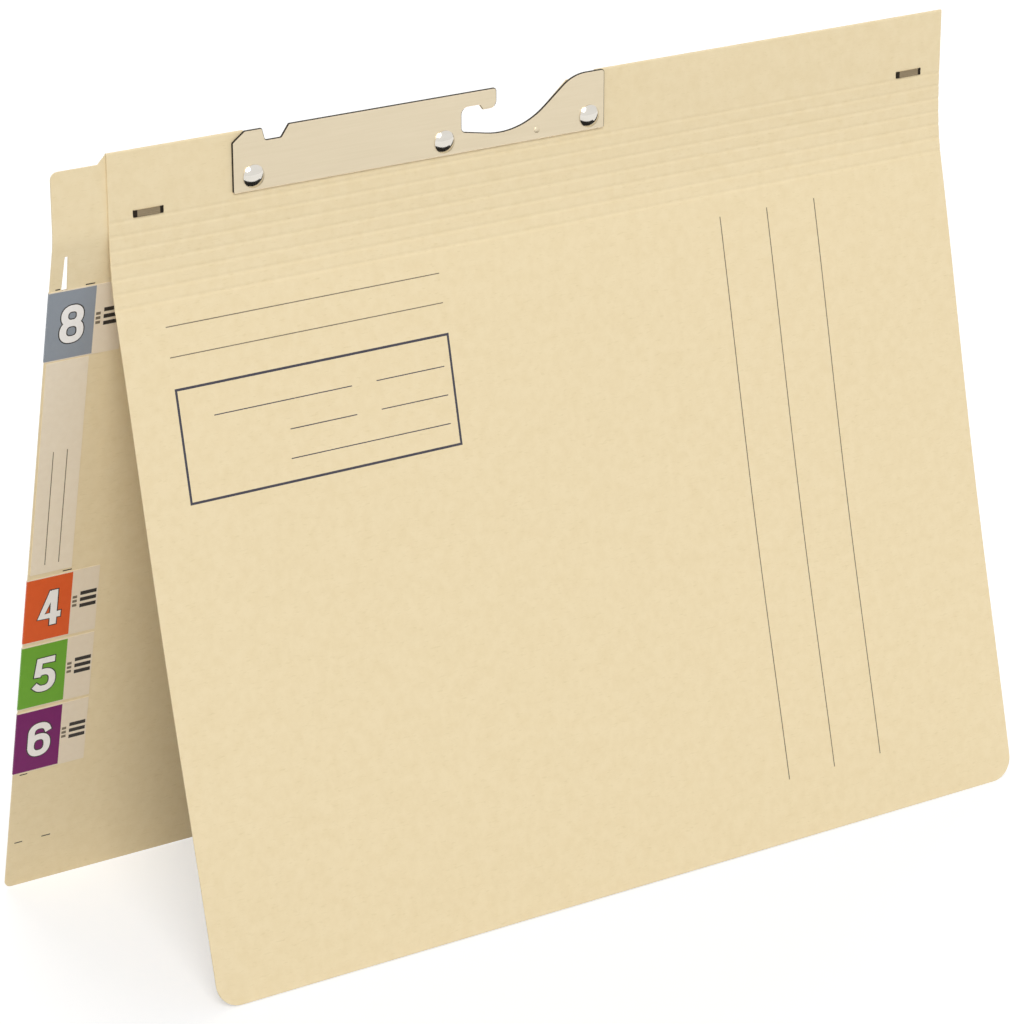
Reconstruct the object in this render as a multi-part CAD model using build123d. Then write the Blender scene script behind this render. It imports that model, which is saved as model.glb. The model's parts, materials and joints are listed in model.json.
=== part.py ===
"""Pendulum suspension folder: scored manila card, riveted hanger plate, index labels, filing fastener.

Millimetres. X runs along the folder's width, the front cover faces -Y, Z is up.
The pieces are drawn in a drawing frame whose X starts at the front cover's left edge,
whose Y = 0 lies between the two header layers and whose Z = 0 is the fold at the top.
At the end everything moves so that the origin is the middle of the base it stands on.
"""

from build123d import *
import os
from math import acos, atan2, cos, degrees, hypot, radians, sin, tan

# Card sheet, one board folded at the top
card_thickness = 0.45
cover_width = 318.0
front_header_height = 22.0
rear_header_height = 25.0
header_layer_gap = 0.2
front_flap_length = 222.0
cover_corner_radius = 8.0

# Scores of the front cover, which adapt it to the filling
score_count = 7
score_pitch = 4.5
score_bend_step = 0.5  # degrees: the n-th score bends by n steps in the standing pose

# Every score: the card's outer skin turns on a fine bead and the next sheet stops short of it
score_bead_radius = 0.05
score_clearance = 0.08
fold_back_lean = 160.0  # degrees: as far as the rear cover turns back over its score

# Index tab, the strip of the rear cover beyond the front cover's left edge
tab_width = 18.5
tab_drop = 3.2
tab_step_run = 2.6
tab_corner_radius = 2.5
tab_slit_width = 2.2
tab_slit_length = 14.0
tab_slit_inset = 3.9
tab_slit_start = 5.5

# Hanger plate, stamped sheet steel
plate_left = 42.6
plate_width = 137.0
plate_height = 19.5
plate_thickness = 0.8
plate_foot_radius = 0.7
plate_horn_radius = 1.2
shoulder_run = 4.4
shoulder_drop = 3.3
shoulder_radius = 0.8
lobe_end = 10.6
notch_start = 11.6
notch_end = 17.2
notch_depth = 3.9
notch_rise_end = 20.0
notch_radius = 0.8
gap_wall_depth = 12.6
gap_length = 21.6
gap_wall_radius = 2.4
gap_floor_radius = 1.5
hook_length = 13.1
hook_tip_radius = 1.2
hook_arm_depth = 4.8
hook_neck_run = 6.6
hook_neck_radius = 0.9
hook_nib_run = 7.9
hook_nib_depth = 6.6
hook_nib_radius = 2.4
ramp_run = 20.6
ramp_root_depth = 16.65
ramp_root_radius = 27.0
ramp_head_radius = 14.0
horn_width = 12.1

# Cut-out of both header layers behind the plate
recess_depth = 2.0
recess_setback = 1.0
recess_ramp_setback = 3.0
recess_horn_margin = 3.0

# Rivets that hold the plate on both header layers
outer_rivet_left_inset = 7.2
outer_rivet_right_inset = 5.9
middle_rivet_gap_distance = 6.5
rivet_drop = 14.8
rivet_head_diameter = 7.4
rivet_head_rim = 0.3
rivet_dome_height = 1.4
rivet_shank_diameter = 3.2
rivet_tail_diameter = 5.4
rivet_tail_height = 0.7
rivet_clearance = 0.05

# Flat-wire staples that close the header at both ends
staple_crown = 10.4
staple_wire_width = 2.2
staple_wire_thickness = 0.4
staple_bend_radius = 0.3
staple_clinch = 3.8
staple_edge_distance = 13.5
staple_drop = 20.2
staple_clearance = 0.05

# Index labels, folded round the tab's edge
label_thickness = 0.12
label_height = 24.8
label_pitch = 26.0
label_reach = 25.6
upper_label_start = 42.2
lower_label_start = 147.5
lower_label_count = 3
name_label_start = 67.4
name_label_height = 78.4
name_label_width = 14.6
name_label_inset = 0.7

# Filing fastener on the inside of the rear cover, for sheets with two punched holes
punch_pitch = 80.0
punch_edge_distance = 12.0
paper_edge_margin = 3.0
backing_length = 132.0
backing_width = 26.0
backing_thickness = 0.45
base_strip_width = 6.0
base_strip_thickness = 0.35
base_strip_overhang = 5.0
prong_width = 4.0
prong_thickness = 0.3
prong_fold_length = 30.0
bar_width = 9.0
bar_thickness = 0.6
bar_overhang = 9.0
bar_end_radius = 3.0
bar_lift = 0.6
bar_slot_clearance = 0.15
prong_lay_clearance = 0.1
slide_length = 8.0
slide_wall = 0.3
slide_clearance = 0.12
slide_tip_cover = 8.0

# One overrun serves all cuts
cut_overrun = 2.0

# Sizes that follow from the ones above
half_card = card_thickness / 2
header_half_depth = header_layer_gap / 2 + card_thickness
skin_depth = card_thickness - score_bead_radius
score_setback = score_bead_radius * tan(radians(fold_back_lean / 2)) + score_clearance
score_axis_depth = header_half_depth - score_bead_radius
sheet_length = front_header_height + (score_count - 1) * score_pitch + front_flap_length
rear_flap_length = sheet_length - rear_header_height

# Places along the plate, from its left end; the hook and its gap keep to the right end
ramp_head = plate_width - horn_width
ramp_root = ramp_head - ramp_run
gap_wall = ramp_root - gap_length
hook_tip = gap_wall + hook_length
hook_neck_end = gap_wall + hook_neck_run
hook_nib_start = gap_wall + hook_nib_run
rivet_places = (
    outer_rivet_left_inset,
    gap_wall - middle_rivet_gap_distance,
    plate_width - outer_rivet_right_inset,
)

# Lowest point of the rail gap, on the round between its falling floor and the rising ramp
floor_fall = atan2(ramp_root_depth - gap_wall_depth, gap_length)
ramp_rise = atan2(ramp_root_depth, ramp_run)
root_tangent = ramp_root_radius * tan((floor_fall + ramp_rise) / 2)
gap_depth = ramp_root_depth - root_tangent * sin(floor_fall) + ramp_root_radius * (1 - cos(floor_fall))


def front_scores():
    """Score axes of the front cover as (y, z, lean below the score in degrees), top to bottom."""
    places = []
    y = -score_axis_depth
    z = -front_header_height
    lean = 0.0
    for number in range(1, score_count + 1):
        lean += number * score_bend_step
        places.append((y, z, lean))
        y -= score_pitch * sin(radians(lean))
        z -= score_pitch * cos(radians(lean))
    return places


scores = front_scores()
flap_axis_y, flap_axis_z, front_lean = scores[-1]
front_foot_y = flap_axis_y - front_flap_length * sin(radians(front_lean))
front_foot_z = flap_axis_z - front_flap_length * cos(radians(front_lean))
floor_z = front_foot_z - skin_depth * sin(radians(front_lean))

# The rear cover leans back until its lower edge stands on the same floor
rear_drop = -rear_header_height - floor_z
rear_reach = hypot(rear_flap_length, skin_depth)
rear_lean = degrees(atan2(skin_depth, rear_flap_length) + acos(rear_drop / rear_reach))
rear_foot_y = score_axis_depth + rear_flap_length * sin(radians(rear_lean))

front_end_y = front_foot_y - score_bead_radius * cos(radians(front_lean))
rear_end_y = rear_foot_y + score_bead_radius * cos(radians(rear_lean))
left_end_x = -tab_width - label_thickness
base_shift = (
    -(left_end_x + cover_width) / 2,
    -(front_end_y + rear_end_y) / 2,
    -floor_z,
)
to_base = Location(base_shift)

# The rear score's axis, and the middle plane of the rear cover below it
rear_score = Location((0, score_axis_depth, -rear_header_height), (rear_lean, 0, 0))
rear_sheet = rear_score * Location((0, score_bead_radius - half_card, 0))


def box_between(low, high):
    """Box from its lowest to its highest corner."""
    size = [top - bottom for bottom, top in zip(low, high)]
    return Pos(*low) * Box(*size, align=(Align.MIN, Align.MIN, Align.MIN))


def hinged_sheet(outward, left, width, length):
    """Card sheet that hangs from its score axis, its outer face towards +Y (1) or -Y (-1)."""
    skin = outward * score_bead_radius
    inner = -outward * skin_depth
    edge = Polyline((skin, 0), (skin, -length), (inner, -length), (inner, 0), (-skin, 0))
    bead = ThreePointArc((-skin, 0), (0, score_bead_radius), (skin, 0))
    section = make_face(edge + bead)
    return Pos(left, 0, 0) * extrude(Plane.YZ * section, amount=width)


def round_lower_corner(sheet, side, radius):
    """Round the lower corner of a hinged sheet at its lowest (0) or highest (-1) X."""
    lowest = sheet.edges().filter_by(Axis.Y).group_by(Axis.Z)[0]
    return fillet(lowest.sort_by(Axis.X)[side], radius)


def plate_outline():
    """Outer line of the hanger plate in XZ, from its lower left corner round to the shoulder."""
    corners = (
        (0, -plate_height, plate_foot_radius),
        (plate_width, -plate_height, plate_foot_radius),
        (plate_width, 0, plate_horn_radius),
        (ramp_head, 0, ramp_head_radius),
        (ramp_root, -ramp_root_depth, ramp_root_radius),
        (gap_wall, -gap_wall_depth, gap_floor_radius),
        (gap_wall, -hook_arm_depth, gap_wall_radius),
        (hook_neck_end, -hook_arm_depth, hook_neck_radius),
        (hook_nib_start, -hook_nib_depth, hook_neck_radius),
        (hook_tip, -hook_nib_depth, hook_nib_radius),
        (hook_tip, 0, hook_tip_radius),
        (notch_rise_end, 0, notch_radius),
        (notch_end, -notch_depth, notch_radius),
        (notch_start, -notch_depth, notch_radius),
        (lobe_end, 0, notch_radius),
        (shoulder_run, 0, shoulder_radius),
        (0, -shoulder_drop, shoulder_radius),
    )
    points = [(plate_left + x, z) for x, z, radius in corners]
    radii = [radius for x, z, radius in corners]
    return FilletPolyline(*points, radius=radii, close=True)


def rivet_axes():
    """X of each rivet in the drawing frame."""
    return [plate_left + place for place in rivet_places]


def rivet_holes():
    """Cutters for the rivet shanks, through the plate and both header layers."""
    depth = 2 * (header_half_depth + plate_thickness + cut_overrun)
    radius = rivet_shank_diameter / 2 + rivet_clearance
    return [Pos(x, 0, -rivet_drop) * Rot(90, 0, 0) * Cylinder(radius, depth) for x in rivet_axes()]


def hanger_plate():
    """Stamped steel plate with the rail hook, the notch and the rivet holes."""
    face = make_face(plate_outline())
    plate = extrude(Plane.XZ.offset(header_half_depth) * face, amount=plate_thickness)
    return plate - rivet_holes()


def rivet(x):
    """Domed rivet with its tail set behind the rear header layer."""
    head = rivet_head_diameter / 2
    shank = rivet_shank_diameter / 2
    tail = rivet_tail_diameter / 2
    seat = -header_half_depth - plate_thickness
    rim = seat - rivet_head_rim
    ball = (head**2 + rivet_dome_height**2) / (2 * rivet_dome_height)
    centre = rim - rivet_dome_height + ball
    half_angle = atan2(head, centre - rim) / 2
    dome = ThreePointArc(
        (0, rim - rivet_dome_height),
        (ball * sin(half_angle), centre - ball * cos(half_angle)),
        (head, rim),
    )
    tail_end = header_half_depth + rivet_tail_height
    body = Polyline(
        (head, rim),
        (head, seat),
        (shank, seat),
        (shank, header_half_depth),
        (tail, header_half_depth),
        (shank, tail_end),
        (0, tail_end),
        (0, rim - rivet_dome_height),
    )
    return Pos(x, 0, -rivet_drop) * revolve(make_face(dome + body), axis=Axis.Y)


def staple_axes():
    """X of the two staples in the drawing frame."""
    return (staple_edge_distance, cover_width - staple_edge_distance)


def staple(x):
    """Flat-wire staple: crown on the front layer, legs through both, tips clinched inwards behind."""
    out_x = staple_crown / 2
    in_x = out_x - staple_wire_thickness
    tip_x = out_x - staple_clinch
    out_y = header_half_depth + staple_wire_thickness
    in_y = header_half_depth
    right = [(out_x, -out_y), (out_x, out_y), (tip_x, out_y), (tip_x, in_y), (in_x, in_y), (in_x, -in_y)]
    left = [(-px, py) for px, py in reversed(right)]
    wire = extrude(make_face(Polyline(*right, *left, close=True)), amount=staple_wire_width / 2, both=True)
    bends = wire.edges().filter_by(Axis.Z).group_by(Axis.Y)[0]
    return Pos(x, 0, -staple_drop) * fillet(bends, staple_bend_radius)


def staple_holes():
    """Cutters for the staple legs."""
    half_x = staple_wire_thickness / 2 + staple_clearance
    half_y = header_half_depth + cut_overrun
    half_z = staple_wire_width / 2 + staple_clearance
    leg = staple_crown / 2 - staple_wire_thickness / 2
    holes = []
    for x in staple_axes():
        for side in (-1, 1):
            low = (x + side * leg - half_x, -half_y, -staple_drop - half_z)
            high = (x + side * leg + half_x, half_y, -staple_drop + half_z)
            holes.append(box_between(low, high))
    return holes


def header_recess():
    """Cutters that clear the card behind the plate's top edge, its notch and its rail gap."""
    depth = header_half_depth + cut_overrun
    top = cut_overrun
    edge = [(shoulder_run, top), (shoulder_run, -recess_depth)]
    edge += [(plate_width - recess_horn_margin, -recess_depth), (plate_width - recess_horn_margin, top)]
    notch_floor = -notch_depth - recess_setback
    notch = [(lobe_end - recess_setback, top), (lobe_end - recess_setback, notch_floor)]
    notch += [(notch_rise_end, notch_floor), (notch_rise_end + recess_setback, top)]
    gap_floor = -gap_depth - recess_setback
    gap = [(gap_wall - recess_setback, top), (gap_wall - recess_setback, gap_floor)]
    gap += [(ramp_root + recess_ramp_setback, gap_floor), (ramp_head + recess_ramp_setback, top)]
    cutters = []
    for outline in (edge, notch, gap):
        points = [(plate_left + x, z) for x, z in outline]
        face = make_face(Polyline(*points, close=True))
        cutters.append(extrude(Plane.XZ * face, amount=depth, both=True))
    return cutters


def folded_header():
    """Top of the card sheet: front layer, fold and rear layer with the upper end of the tab."""
    front_end = -front_header_height + score_setback
    rear_end = -rear_header_height + score_setback
    outer = header_half_depth
    inner = header_layer_gap / 2
    section = make_face(
        Line((-outer, front_end), (-outer, -outer))
        + ThreePointArc((-outer, -outer), (0, 0), (outer, -outer))
        + Polyline((outer, -outer), (outer, rear_end), (inner, rear_end), (inner, -outer))
        + ThreePointArc((inner, -outer), (0, inner - outer), (-inner, -outer))
        + Polyline((-inner, -outer), (-inner, front_end), (-outer, front_end))
    )
    layers = extrude(Plane.YZ * section, amount=cover_width)
    tab_points = [(-tab_width, rear_end), (0, rear_end), (0, -outer)]
    tab_points += [(-tab_step_run, -tab_drop), (-tab_width, -tab_drop)]
    tab_face = make_face(Polyline(*tab_points, close=True))
    corner = tab_face.vertices().sort_by(Axis.X)[:2].sort_by(Axis.Y)[-1]
    tab_face = fillet(corner, tab_corner_radius)
    tab = extrude(Plane.XZ.offset(-outer) * tab_face, amount=card_thickness)
    return layers + tab - header_recess() - rivet_holes() - staple_holes()


def front_strip(number):
    """Strip of the front cover below the score with this number."""
    y, z, lean = scores[number - 1]
    sheet = hinged_sheet(-1, 0, cover_width, score_pitch - score_setback)
    return Location((0, y, z), (-lean, 0, 0)) * sheet


def front_flap():
    """Front cover below the lowest score."""
    sheet = hinged_sheet(-1, 0, cover_width, front_flap_length)
    for side in (0, -1):
        sheet = round_lower_corner(sheet, side, cover_corner_radius)
    return Location((0, flap_axis_y, flap_axis_z), (-front_lean, 0, 0)) * sheet


def rear_flap():
    """Rear cover below its score, with the index tab along its left edge."""
    sheet = hinged_sheet(1, -tab_width, tab_width + cover_width, rear_flap_length)
    sheet = round_lower_corner(sheet, 0, tab_corner_radius)
    sheet = round_lower_corner(sheet, -1, cover_corner_radius)
    slit_left = tab_slit_inset - tab_width
    low = (slit_left, -cut_overrun, -tab_slit_start - tab_slit_length)
    high = (slit_left + tab_slit_width, cut_overrun, -tab_slit_start)
    return rear_score * (sheet - box_between(low, high))


def number_label(start):
    """Index label folded round the tab's edge, its top this far below the fold."""
    inner = half_card
    outer = half_card + label_thickness
    reach = label_reach - tab_width
    edge = -tab_width
    wrap = [(reach, -outer), (reach, -inner), (edge, -inner), (edge, inner)]
    wrap += [(reach, inner), (reach, outer), (left_end_x, outer), (left_end_x, -outer)]
    face = make_face(Polyline(*wrap, close=True))
    top = rear_header_height - start
    return rear_sheet * Pos(0, 0, top) * extrude(face, amount=-label_height)


def name_label():
    """Paper label stuck on the tab between the number labels."""
    left = name_label_inset - tab_width
    top = rear_header_height - name_label_start
    low = (left, -half_card - label_thickness, top - name_label_height)
    high = (left + name_label_width, -half_card, top)
    return rear_sheet * box_between(low, high)


# Heights of the fastener's layers above the rear cover's middle plane, and its place on the cover
fastener_x = cover_width / 2
fastener_z = rear_header_height - front_header_height - (score_count - 1) * score_pitch
fastener_z -= paper_edge_margin + punch_edge_distance
fastener_place = rear_sheet * Location((fastener_x, 0, fastener_z))
base_seat = half_card + backing_thickness
base_top = base_seat + base_strip_thickness
bar_seat = base_top + bar_lift
bar_top = bar_seat + bar_thickness
prong_seat = bar_top + prong_lay_clearance
prong_top = prong_seat + prong_thickness
prong_tip = punch_pitch / 2 - prong_fold_length


def fastener_layer(half_length, width, bottom, top):
    """Flat strip centred on the fastener, between two heights above the cover's middle plane."""
    return box_between((-half_length, -top, -width / 2), (half_length, -bottom, width / 2))


def backing_strip():
    """Card strip glued inside the rear cover to carry the fastener."""
    return fastener_place * fastener_layer(backing_length / 2, backing_width, half_card, base_seat)


def prong_strip():
    """Tin strip with two prongs that pass through the bar and lie folded on it."""
    half_pitch = punch_pitch / 2
    strip = fastener_layer(half_pitch + base_strip_overhang, base_strip_width, base_seat, base_top)
    half_width = prong_width / 2
    for side in (-1, 1):
        out_x = side * half_pitch
        in_x = side * (half_pitch - prong_thickness)
        tip_x = side * prong_tip
        post = ((min(out_x, in_x), -prong_top, -half_width), (max(out_x, in_x), -base_seat, half_width))
        fold = ((min(out_x, tip_x), -prong_top, -half_width), (max(out_x, tip_x), -prong_seat, half_width))
        strip += [box_between(*post), box_between(*fold)]
    return fastener_place * strip


def compressor_bar():
    """Tin bar that presses the sheets down, with a slot for each prong."""
    half_pitch = punch_pitch / 2
    bar = fastener_layer(half_pitch + bar_overhang, bar_width, bar_seat, bar_top)
    half_width = prong_width / 2 + bar_slot_clearance
    for side in (-1, 1):
        out_x = side * (half_pitch + bar_slot_clearance)
        in_x = side * (half_pitch - prong_thickness - bar_slot_clearance)
        low = (min(out_x, in_x), -bar_top - cut_overrun, -half_width)
        high = (max(out_x, in_x), cut_overrun - bar_seat, half_width)
        bar -= box_between(low, high)
    for end in (0, -1):
        corners = bar.edges().filter_by(Axis.Y).group_by(Axis.X)[end]
        bar = fillet(corners, bar_end_radius)
    return fastener_place * bar


def lock_slide(side):
    """Band round the bar that slides over a prong's tip and holds it down."""
    hollow_low = bar_seat - slide_clearance
    hollow_high = prong_top + slide_clearance
    hollow_width = bar_width + 2 * slide_clearance
    half_length = slide_length / 2
    band = fastener_layer(
        half_length, hollow_width + 2 * slide_wall, hollow_low - slide_wall, hollow_high + slide_wall
    )
    band -= fastener_layer(half_length + cut_overrun, hollow_width, hollow_low, hollow_high)
    place = side * (prong_tip + slide_tip_cover - half_length)
    return fastener_place * Pos(place, 0, 0) * band


def build():
    """All nodes of the folder, by name, in the drawing frame."""
    nodes = {"folded_header": folded_header()}
    for number in range(1, score_count):
        nodes[f"front_strip_{number}"] = front_strip(number)
    nodes["front_flap"] = front_flap()
    nodes["rear_flap"] = rear_flap()
    nodes["hanger_plate"] = hanger_plate()
    for name, x in zip(("left", "middle", "right"), rivet_axes()):
        nodes[f"rivet_{name}"] = rivet(x)
    for name, x in zip(("left", "right"), staple_axes()):
        nodes[f"staple_{name}"] = staple(x)
    nodes["number_label_1"] = number_label(upper_label_start)
    for index in range(lower_label_count):
        nodes[f"number_label_{index + 2}"] = number_label(lower_label_start + index * label_pitch)
    nodes["name_label"] = name_label()
    nodes["backing_strip"] = backing_strip()
    nodes["prong_strip"] = prong_strip()
    nodes["compressor_bar"] = compressor_bar()
    nodes["lock_slide_left"] = lock_slide(-1)
    nodes["lock_slide_right"] = lock_slide(1)
    return nodes


os.makedirs("parts", exist_ok=True)
for node_name, solid in build().items():
    placed = to_base * solid
    placed.label = node_name
    export_step(placed, f"parts/{node_name}.step")
print("standing lean, front and rear:", front_lean, rear_lean)
print("base depth:", rear_end_y - front_end_y, "height:", -floor_z)
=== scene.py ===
"""Finished look of a pendulum suspension folder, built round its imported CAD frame.

The frame's axes are kept: X along the width, -Y out of the front cover, Z up, in metres.
Sizes with a name that ends in _mm are millimetres and become metres where a mesh is made.
"""

import json
import logging
import math
from dataclasses import dataclass, field, replace
from enum import Enum
from functools import cached_property
from typing import Any, Iterable, Sequence

import bmesh
import bpy
from bmesh.types import BMesh, BMEdge, BMFace, BMVert
from bpy.types import Material, Node, NodeSocket, Object, ShaderNodeTree
from mathutils import Matrix, Vector


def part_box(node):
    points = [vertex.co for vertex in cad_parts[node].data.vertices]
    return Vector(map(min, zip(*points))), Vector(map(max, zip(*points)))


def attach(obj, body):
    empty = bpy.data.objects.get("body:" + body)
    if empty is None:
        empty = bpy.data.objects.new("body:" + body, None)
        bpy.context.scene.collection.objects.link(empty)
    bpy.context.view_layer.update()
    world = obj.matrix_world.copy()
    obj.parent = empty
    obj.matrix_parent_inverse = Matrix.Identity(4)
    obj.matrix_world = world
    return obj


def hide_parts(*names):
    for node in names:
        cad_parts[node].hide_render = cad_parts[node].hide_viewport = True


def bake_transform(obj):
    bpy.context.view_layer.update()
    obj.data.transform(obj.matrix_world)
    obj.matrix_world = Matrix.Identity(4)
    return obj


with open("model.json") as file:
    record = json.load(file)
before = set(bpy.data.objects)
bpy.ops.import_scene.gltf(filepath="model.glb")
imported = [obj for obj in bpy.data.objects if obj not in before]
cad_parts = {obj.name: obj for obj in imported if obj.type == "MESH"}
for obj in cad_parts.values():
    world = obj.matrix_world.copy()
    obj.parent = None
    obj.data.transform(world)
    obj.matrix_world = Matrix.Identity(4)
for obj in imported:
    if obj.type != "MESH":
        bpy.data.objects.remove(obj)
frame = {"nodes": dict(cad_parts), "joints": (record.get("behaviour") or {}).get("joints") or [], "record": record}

LOG = logging.getLogger("suspension_folder")
MM = 0.001

# Points this close, in metres, are one point, and a cut takes over points that are closer still.
SAME_PLACE = 1e-6
CUT_SNAP = 1e-7

# Printed ink reaches this far to each side of the skin that it lies on.
FILM_MM = 0.012

# Steps of a rounded corner and of a softened edge.
CORNER_STEPS = 10
SOFT_STEPS = 2

# Angles between faces: within one flat face, where an edge is softened, and where it stays crisp.
FLAT_ANGLE = math.radians(0.5)
SHARP_ANGLE = math.radians(40)
CRISP_ANGLE = math.radians(15)
TURNED_CRISP_ANGLE = math.radians(35)
PIP_CRISP_ANGLE = math.radians(40)

# Typical index of refraction of paper fibres and coatings.
PAPER_IOR = 1.5

WHITE = "#FFFFFF"

# Numbers of the Mix node's two colour inputs and its colour output, which share names with other types.
MIX_FIRST = 6
MIX_SECOND = 7
MIX_RESULT = 2


class Side(Enum):
    """Which way a cover's outer face looks along Y."""

    FRONT = -1
    REAR = 1


class Axis(Enum):
    """Axes that a sheet is cut square to: across it, and down from its score."""

    ACROSS = 0
    DOWN = 2


def linear(hex_colour: str) -> tuple[float, float, float, float]:
    """Turn an sRGB hex colour into linear light, by the curve of the sRGB standard.

    Args:
        hex_colour: Six hex digits after a hash sign.

    Returns:
        Red, green, blue and an alpha of 1.
    """
    parts = [int(hex_colour[place : place + 2], 16) / 255 for place in (1, 3, 5)]
    light = [p / 12.92 if p <= 0.04045 else ((p + 0.055) / 1.055) ** 2.4 for p in parts]
    return (light[0], light[1], light[2], 1.0)


def per_metre(size_mm: float) -> float:
    """Scale of a pattern whose features are this many millimetres wide."""
    return 1 / (size_mm * MM)


def add_node(
    tree: ShaderNodeTree,
    kind: str,
    settings: dict[str | int, Any] | None = None,
    links: dict[str | int, NodeSocket] | None = None,
) -> Node:
    """Add a shader node with its settings and incoming links.

    Args:
        tree: Node tree of the material or world.
        kind: Node type without its ShaderNode prefix.
        settings: Values by input name or number, or by the node's own property name.
        links: Sockets to link from, by input name or number.

    Returns:
        The new node.
    """
    node = tree.nodes.new("ShaderNode" + kind)
    for key, value in (settings or {}).items():
        if isinstance(key, int) or key in node.inputs:
            node.inputs[key].default_value = value
        else:
            setattr(node, key, value)
    for key, socket in (links or {}).items():
        tree.links.new(socket, node.inputs[key])
    return node


@dataclass(frozen=True)
class Finish:
    """A surface finish: a named material with its own node tree."""

    name: str

    @cached_property
    def material(self) -> Material:
        """Make the Blender material, once.

        Returns:
            The material with its node tree.
        """
        material = bpy.data.materials.new(self.name)
        material.use_nodes = True
        tree = material.node_tree
        tree.nodes.clear()
        output = add_node(tree, "OutputMaterial")
        shader = self.shade(tree)
        tree.links.new(shader.outputs[0], output.inputs["Surface"])
        return material

    def shade(self, tree: ShaderNodeTree) -> Node:
        """Build the shader; each finish has its own."""
        raise NotImplementedError

    def mottle(
        self, tree: ShaderNodeTree, tones: tuple[str, str], size_mm: float, detail: float = 2.0
    ) -> NodeSocket:
        """Let two close tones pass into each other in cloudy patches.

        Args:
            tree: Node tree of the material.
            tones: The two colours.
            size_mm: Width of a patch.
            detail: How far the patches break up into finer ones.

        Returns:
            The socket that gives the colour.
        """
        place = add_node(tree, "TexCoord").outputs["Object"]
        patches = add_node(
            tree, "TexNoise", {"Scale": per_metre(size_mm), "Detail": detail}, {"Vector": place}
        )
        first, second = (linear(tone) for tone in tones)
        mixed = add_node(
            tree,
            "Mix",
            {"data_type": "RGBA", MIX_FIRST: first, MIX_SECOND: second},
            {"Factor": patches.outputs["Fac"]},
        )
        return mixed.outputs[MIX_RESULT]


@dataclass(frozen=True)
class PressedCard(Finish):
    """Manila board, calendered between rollers: matt, faintly cloudy, with fine fibres along the web."""

    colour: str = "#EEDCB5"
    cloud: str = "#EAD7AE"
    fibre: str = "#D8C494"
    cloud_mm: float = 3.5
    cloud_detail: float = 3.0
    cloud_roughness: float = 0.6
    # Real fibres are about 0.03 mm wide and the tooth is as fine. Both are drawn coarser, so that they show.
    fibre_mm: float = 0.6
    fibre_stretch: float = 4.0
    fibre_strength: float = 0.5
    tooth_mm: float = 0.5
    tooth_detail: float = 4.0
    tooth_height_mm: float = 0.012
    tooth_strength: float = 0.35
    roughness: float = 0.62
    gloss: float = 0.35
    # Values of the noise between which clouds and fibres come in.
    cloud_range: tuple[float, float] = (0.35, 0.7)
    fibre_range: tuple[float, float] = (0.6, 0.85)

    def shade(self, tree: ShaderNodeTree) -> Node:
        """Shade with a cloudy colour, sparse darker fibres and a fine tooth.

        Args:
            tree: Node tree of the material.

        Returns:
            The surface shader.
        """
        place = add_node(tree, "TexCoord").outputs["Object"]
        clouds = add_node(
            tree,
            "TexNoise",
            {
                "Scale": per_metre(self.cloud_mm),
                "Detail": self.cloud_detail,
                "Roughness": self.cloud_roughness,
            },
            {"Vector": place},
        )
        low, high = self.cloud_range
        cloud_share = add_node(
            tree, "MapRange", {"From Min": low, "From Max": high}, {"Value": clouds.outputs["Fac"]}
        )
        body = add_node(
            tree,
            "Mix",
            {"data_type": "RGBA", MIX_FIRST: linear(self.colour), MIX_SECOND: linear(self.cloud)},
            {"Factor": cloud_share.outputs[0]},
        )
        along = add_node(
            tree, "Mapping", {"Scale": (1 / self.fibre_stretch, 1.0, 1.0)}, {"Vector": place}
        )
        fibres = add_node(
            tree, "TexNoise", {"Scale": per_metre(self.fibre_mm)}, {"Vector": along.outputs[0]}
        )
        low, high = self.fibre_range
        fibre_share = add_node(
            tree,
            "MapRange",
            {"From Min": low, "From Max": high, "To Max": self.fibre_strength},
            {"Value": fibres.outputs["Fac"]},
        )
        colour = add_node(
            tree,
            "Mix",
            {"data_type": "RGBA", MIX_SECOND: linear(self.fibre)},
            {"Factor": fibre_share.outputs[0], MIX_FIRST: body.outputs[MIX_RESULT]},
        )
        tooth = add_node(
            tree,
            "TexNoise",
            {"Scale": per_metre(self.tooth_mm), "Detail": self.tooth_detail},
            {"Vector": place},
        )
        bump = add_node(
            tree,
            "Bump",
            {"Strength": self.tooth_strength, "Distance": self.tooth_height_mm * MM},
            {"Height": tooth.outputs["Fac"]},
        )
        return add_node(
            tree,
            "BsdfPrincipled",
            {"Roughness": self.roughness, "IOR": PAPER_IOR, "Specular IOR Level": self.gloss},
            {"Base Color": colour.outputs[MIX_RESULT], "Normal": bump.outputs[0]},
        )


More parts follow.
